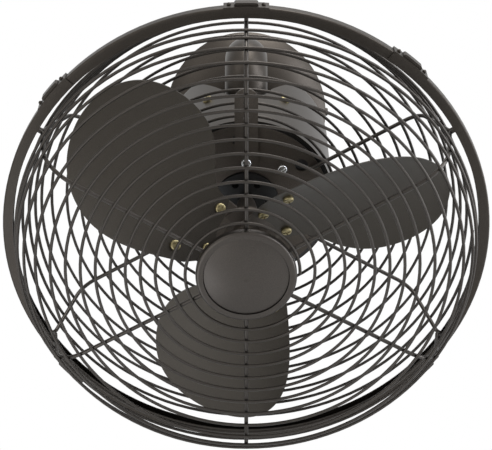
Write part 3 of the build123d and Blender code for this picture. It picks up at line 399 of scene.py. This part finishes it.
# %% Winding branch of the tree
def wound_wire(tree, given, ruler):
    stretch = add(tree, "GeometryNodeCurvePrimitiveLine", {"End": (1, 0, 0)}).outputs[0]
    inputs = {"Curve": stretch, "Count": given["Points"]}
    long_line = add(tree, "GeometryNodeResampleCurve", inputs).outputs[0]
    share = add(tree, "GeometryNodeSplineParameter").outputs["Factor"]
    run = maths(tree, "MULTIPLY", share, given["Winding length"])
    inputs = {"Curves": ruler, "Length": maths(tree, "ADD", run, given["Winding start"])}
    place = add(tree, "GeometryNodeSampleCurve", inputs, mode="LENGTH", use_all_curves=True)
    spot = add(tree, "ShaderNodeSeparateXYZ", {0: place.outputs["Position"]}).outputs
    along = add(tree, "ShaderNodeSeparateXYZ", {0: place.outputs["Tangent"]}).outputs
    inward = maths(tree, "MULTIPLY", along["Z"], given["Stand off"])
    upward = maths(tree, "MULTIPLY", along["X"], given["Stand off"])
    radius = maths(tree, "SUBTRACT", spot["X"], inward)
    height = maths(tree, "ADD", spot["Z"], upward)
    turns = maths(tree, "DIVIDE", run, given["Wire pitch"])
    angle = maths(tree, "MULTIPLY", turns, 2 * math.pi)
    across = maths(tree, "MULTIPLY", radius, maths(tree, "COSINE", angle))
    aside = maths(tree, "MULTIPLY", radius, maths(tree, "SINE", angle))
    wound = add(tree, "ShaderNodeCombineXYZ", {"X": across, "Y": aside, "Z": height}).outputs[0]
    inputs = {"Geometry": long_line, "Position": wound}
    winding = add(tree, "GeometryNodeSetPosition", inputs).outputs[0]
    return round_bar(tree, winding, given["Wire diameter"], WIRE_SIDES)


print("the wire moves out by", round(WIRE_PITCH / MM, 2), "mm per turn")


# %% [markdown]
# ## The rim, and the whole tree
# The rim is a plain ring, lifted to its half of the cage. The three branches then go into one
# tree with a socket for every size, so the front and the rear half of the cage are two settings
# of the same tree.

# %% Rim branch and the whole tree
RIM_POINTS = 160
SIZE_SOCKETS = (
    "Shoulder", "Elbow", "Winding start", "Winding length", "Wire pitch", "Wire diameter",
    "Spoke diameter", "Stand off", "Spoke turn", "Rim radius", "Rim height", "Rim diameter",
)


def rim_ring(tree, given):
    circle = {"Resolution": RIM_POINTS, "Radius": given["Rim radius"]}
    line = add(tree, "GeometryNodeCurvePrimitiveCircle", circle).outputs[0]
    ring = round_bar(tree, line, given["Rim diameter"], BAR_SIDES, closed_ends=False)
    lift = add(tree, "ShaderNodeCombineXYZ", {"Z": given["Rim height"]}).outputs[0]
    return add(tree, "GeometryNodeTransform", {"Geometry": ring, "Translation": lift}).outputs[0]


def cage_tree():
    tree = bpy.data.node_groups.new("wound wire cage", "GeometryNodeTree")
    sockets = [("Outline", "Geometry"), *((label, "Float") for label in SIZE_SOCKETS),
               ("Spokes", "Int"), ("Points", "Int"), ("Finish", "Material")]
    for label, kind in sockets:
        tree.interface.new_socket(label, in_out="INPUT", socket_type="NodeSocket" + kind)
    tree.interface.new_socket("Cage", in_out="OUTPUT", socket_type="NodeSocketGeometry")
    given = add(tree, "NodeGroupInput").outputs
    index = add(tree, "GeometryNodeInputIndex").outputs[0]
    ruler = rounded_ruler(tree, given, index)
    together = add(tree, "GeometryNodeJoinGeometry")
    branches = (wound_wire(tree, given, ruler), turned_spokes(tree, given, index, ruler),
                rim_ring(tree, given))
    for branch in branches:
        tree.links.new(branch, together.inputs[0])
    inputs = {"Geometry": together.outputs[0]}
    real = add(tree, "GeometryNodeRealizeInstances", inputs).outputs[0]
    smooth = add(tree, "GeometryNodeSetShadeSmooth", {"Geometry": real}).outputs[0]
    inputs = {"Geometry": smooth, "Material": given["Finish"]}
    coated = add(tree, "GeometryNodeSetMaterial", inputs).outputs[0]
    tree.links.new(coated, add(tree, "NodeGroupOutput").inputs[0])
    return tree


winder = cage_tree()
print("the winding tree has", len(winder.nodes), "nodes")


# %% [markdown]
# ## From a tree to a plain mesh
# A tree stays alive only as long as its modifier, and the model must travel without it. So the
# evaluated result is copied to a plain mesh, placed on the head, and given to its body.

# %% Bake helper
def grow(name, points, edges, tree, values, place, body, stands_for):
    seed = bpy.data.objects.new(name + "_seed", bpy.data.meshes.new(name + "_seed"))
    bpy.context.scene.collection.objects.link(seed)
    seed.data.from_pydata(points, edges, [])
    modifier = seed.modifiers.new("tree", "NODES")
    modifier.node_group = tree
    ids = {s.name: s.identifier for s in tree.interface.items_tree if s.in_out == "INPUT"}
    for label, value in values.items():
        modifier[ids[label]] = value
    graph = bpy.context.evaluated_depsgraph_get()
    mesh = bpy.data.meshes.new_from_object(seed.evaluated_get(graph))
    bpy.data.objects.remove(seed)
    mesh.name = name
    mesh.transform(place)
    piece = bpy.data.objects.new(name, mesh)
    bpy.context.scene.collection.objects.link(piece)
    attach(piece, body)
    for node in stands_for:
        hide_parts(node)
    triangles = sum(len(p.vertices) - 2 for p in mesh.polygons)
    print(name, "has", triangles, "triangles")
    return piece


# %% [markdown]
# ## Wind both halves
# The two halves differ in their outline, in the radius where the wire starts, and in the side of
# the spokes that it is welded to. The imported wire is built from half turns, so this one too is
# cut down to whole half turns of what fits between its start and the foot. The length along the
# spoke is worked out from the outline, with the shoulder's arc in place of its corner.

# %% Wind both halves of the cage
POINTS_PER_HALF_TURN = 56


def rounded_length(outline, shoulder):
    """Length of the spoke from its inner end to the foot, along the rounded corner."""
    a, b, c = (Vector(p) for p in outline[:3])
    bend = (b - a).angle(c - b)
    cut_corner = 2 * shoulder * math.tan(bend / 2)
    return (b - a).length + (c - b).length - cut_corner + shoulder * bend


def cage_half(name, outline, shoulder, wire_radius, side, stands_for):
    start = wire_radius - outline[0][0]
    room = rounded_length(outline, shoulder) - WIRE_D - start
    half_turns = math.floor(room / (WIRE_PITCH / 2))
    values = {
        "Shoulder": shoulder, "Elbow": ELBOW,
        "Winding start": start, "Winding length": half_turns * WIRE_PITCH / 2,
        "Wire pitch": WIRE_PITCH, "Wire diameter": WIRE_D, "Spoke diameter": SPOKE_D,
        "Stand off": side * (SPOKE_D / 2 + WIRE_D / 2 - WELD_SINK), "Spoke turn": SPOKE_TURN,
        "Rim radius": RIM_R, "Rim height": side * RIM_Z, "Rim diameter": RIM_D,
        "Spokes": SPOKE_COUNT, "Points": half_turns * POINTS_PER_HALF_TURN + 1, "Finish": wire_coat,
    }
    points = [(r, 0, z) for r, z in outline]
    edges = [(0, 1), (1, 2), (2, 3)]
    return grow(name, points, edges, winder, values, head, "head", stands_for)


front_cage = cage_half(
    "front_cage_wires", front_outline, FRONT_SHOULDER, FRONT_WIRE_R, 1, ["front_guard"])
rear_cage = cage_half(
    "rear_cage_wires", rear_outline, REAR_SHOULDER, REAR_WIRE_R, -1, ["rear_guard"])

# %% [markdown]
# ## Floor
# The fan hangs on a wall, so it has no floor of its own. A plain pale disc well below it catches
# the light and closes the picture in views from above, and stays out of the catalogue view.

# %% Floor
FLOOR_DROP = 0.34
FLOOR_R = 1.7
FLOOR_SIDES = 96
floor_z = cad_box[0][2] - FLOOR_DROP
angles = (2 * math.pi * k / FLOOR_SIDES for k in range(FLOOR_SIDES))
ring = [(FLOOR_R * math.cos(a), FLOOR_R * math.sin(a), floor_z) for a in angles]
floor_mesh = bpy.data.meshes.new("floor")
floor_mesh.from_pydata(ring, [], [list(range(FLOOR_SIDES))])
floor = bpy.data.objects.new("floor", floor_mesh)
bpy.context.scene.collection.objects.link(floor)
floor_finish = bpy.data.materials.new("matt white floor")
floor_finish.use_nodes = True
floor_shader = floor_finish.node_tree.nodes["Principled BSDF"]
floor_shader.inputs["Base Color"].default_value = colour("#F4F4F2")
floor_shader.inputs["Roughness"].default_value = 0.9
floor.data.materials.append(floor_finish)
print("floor at", round(floor_z, 3), "m")

# %% [markdown]
# ## Surroundings
# The fan was photographed against pure white. The camera, mirror-like reflections and rays that
# pass through a surface all see a white sky, so the background is white and the coats carry its
# sheen. The light that the sky itself throws on the fan comes from a second, much weaker sky,
# which only fills the shadows: the lamps do the rest.

# %% Sky
SKY_FILL = 0.25
world = bpy.data.worlds.new("white studio")
bpy.context.scene.world = world
world.use_nodes = True
sky = world.node_tree
for old in list(sky.nodes):
    sky.nodes.remove(old)
ray = add(sky, "ShaderNodeLightPath").outputs
straight = maths(sky, "MAXIMUM", ray["Is Camera Ray"], ray["Is Transmission Ray"])
seen = maths(sky, "MAXIMUM", straight, ray["Is Glossy Ray"])
shown = add(sky, "ShaderNodeBackground", {"Color": (1, 1, 1, 1), "Strength": 1.0}).outputs[0]
fill = {"Color": colour("#EDF0F4"), "Strength": SKY_FILL}
lighting = add(sky, "ShaderNodeBackground", fill).outputs[0]
mixed = add(sky, "ShaderNodeMixShader", {0: seen, 1: lighting, 2: shown}).outputs[0]
add(sky, "ShaderNodeOutputWorld", {"Surface": mixed})
print("the sky fills the shadows at", SKY_FILL, "of the white that it shows")


# %% [markdown]
# ## Lamps
# Light adds up, so each lamp was rendered alone, and the powers were chosen so that the sum
# comes close to the photograph's tones. Most of the light comes from the right, from one soft
# box high up and one level with the fan, and a third hangs above it for the drum and the canopy.
# Weak ones fill in from the left, and a small one near the floor keeps the blade that faces down
# and left from going black. The boxes on the right and near the floor are slightly cool.

# %% Soft boxes
NEUTRAL, COOL = "#FFFFFF", "#EAF0FA"
centre = Vector(spin["pos_m"])


def soft_box(name, place, width, height, power, tint):
    """A lamp of the given size in metres and power in watts that faces the cage's centre."""
    lamp = bpy.data.lights.new(name, "AREA")
    lamp.shape = "RECTANGLE"
    lamp.size = width
    lamp.size_y = height
    lamp.energy = power
    lamp.color = colour(tint)[:3]
    holder = bpy.data.objects.new(name, lamp)
    holder.location = place
    holder.rotation_euler = (centre - Vector(place)).to_track_quat("-Z", "Y").to_euler()
    bpy.context.scene.collection.objects.link(holder)
    return holder


boxes = [
    soft_box("high right box", (1.4, -0.9, 1.0), 0.9, 1.0, 25, COOL),
    soft_box("right side box", (1.6, -0.4, 0.0), 0.8, 1.1, 23, COOL),
    soft_box("top box", (0.2, -0.3, 1.4), 1.0, 0.8, 20, NEUTRAL),
    soft_box("low left box", (-0.6, -1.0, -0.48), 0.7, 0.5, 2.5, NEUTRAL),
    soft_box("floor box", (-0.30, -0.48, -0.54), 0.3, 0.3, 0.65, COOL),
    soft_box("high left box", (-1.3, -1.1, 1.2), 1.0, 1.0, 5, NEUTRAL),
]
print(len(boxes), "soft boxes with", round(sum(box.data.energy for box in boxes), 2), "W")

# %% [markdown]
# ## Camera
# The outlines in the picture fit a level camera, square to the wall, about 1.3 metres in front
# of the cage's centre, which lies almost on the optical axis. The long lens shows the cage as an
# ellipse because the head leans, while the wall canopy stays a true circle.

# %% Place the camera
CAMERA_LENS = 119.3
SENSOR_WIDTH = 36.0
CAMERA_DISTANCE = 1.300
CAMERA_RIGHT, CAMERA_UP = -0.2 * MM, 8.0 * MM
camera = bpy.data.cameras.new("catalogue camera")
camera.sensor_width = SENSOR_WIDTH
camera.lens = CAMERA_LENS
eye = bpy.data.objects.new("catalogue camera", camera)
eye.location = (CAMERA_RIGHT, centre.y - CAMERA_DISTANCE, centre.z + CAMERA_UP)
eye.rotation_euler = (math.radians(90), 0, 0)
bpy.context.scene.collection.objects.link(eye)
bpy.context.scene.camera = eye
bpy.context.scene.view_settings.view_transform = "Standard"
print("camera at", [round(v, 3) for v in eye.location])
